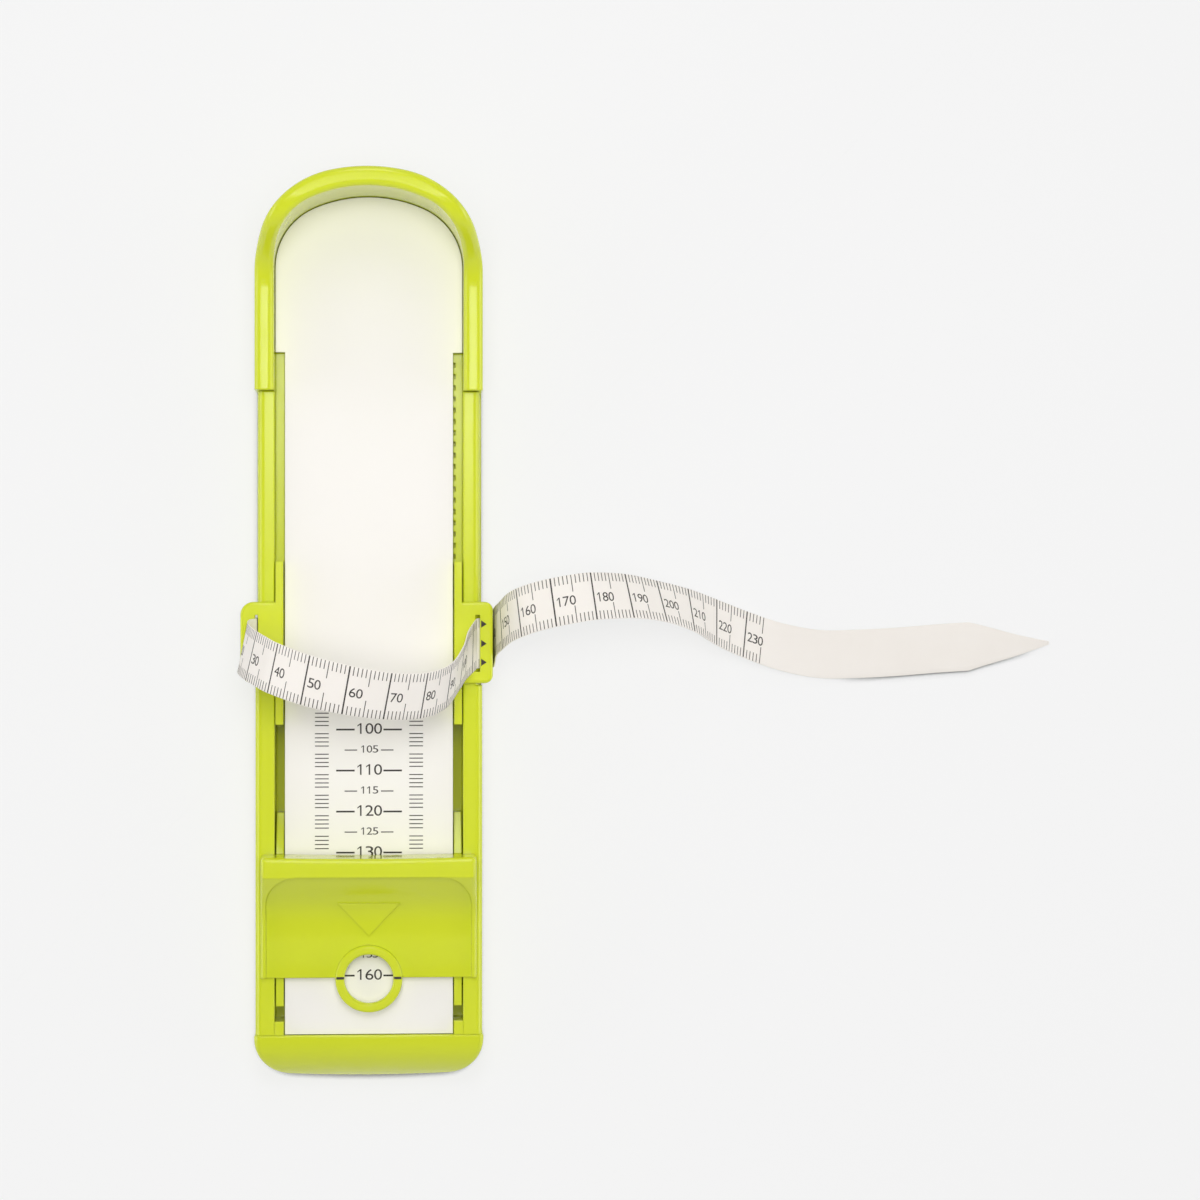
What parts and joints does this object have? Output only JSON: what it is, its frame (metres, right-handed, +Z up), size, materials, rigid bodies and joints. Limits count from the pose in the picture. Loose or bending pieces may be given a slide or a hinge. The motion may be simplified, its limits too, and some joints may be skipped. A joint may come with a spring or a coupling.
{
  "type": "foot measuring device",
  "caption": "Tray-shaped foot gauge with a raised heel cup, a sliding toe bar read through a ring window, and a sliding carriage with a printed tape for the girth.",
  "frame": {"origin": "middle of the flat underside of the base, on the surface it stands on", "axes": "+Y along the device towards the heel, +Z up, +X to the right, the side where the tape comes out"},
  "size_m": [0.201, 0.22, 0.0557],
  "materials": {
    "green_plastic": "glossy moulded ABS",
    "white_plastic": "smooth satin, printed",
    "screw_steel": "zinc-plated",
    "spring_steel": "rolled strip",
    "rivet_aluminium": "turned",
    "tape_vinyl": "soft coated tape, printed"
  },
  "bodies": {
    "base": {"base_tray": "green_plastic", "heel_cup": "green_plastic", "toe_end_cap": "green_plastic", "foot_plate": "white_plastic", "heel_cup_screws": "screw_steel", "end_cap_screws": "screw_steel", "plate_screws": "screw_steel"},
    "carriage": {"carriage_left": "green_plastic", "carriage_right": "green_plastic", "carriage_bridge": "green_plastic", "carriage_screws": "screw_steel", "click_spring": "spring_steel", "tape_clamp": "spring_steel", "tape_clamp_rivets": "rivet_aluminium", "tape_end": "tape_vinyl", "tape_loop": "tape_vinyl", "tape_turn": "tape_vinyl"},
    "tape_tail": {"tape_tail": "tape_vinyl"},
    "toe_bar": {"toe_hood": "green_plastic", "toe_bridge": "green_plastic", "toe_screws": "screw_steel", "toe_brake_spring": "spring_steel"}
  },
  "joints": [
    {"name": "carriage_slide", "type": "slide", "parent": "base", "child": "carriage", "axis": [0, 1, 0], "range_m": [0, 0.04968], "deforming": ["click_spring"]},
    {"name": "tape_pull", "type": "slide", "parent": "carriage", "child": "tape_tail", "axis": [1, 0, 0], "range_m": [0, 0.025], "deforming": ["tape_loop"]},
    {"name": "toe_bar_slide", "type": "slide", "parent": "base", "child": "toe_bar", "axis": [0, 1, 0], "range_m": [-0.003, 0.031]}
  ]
}
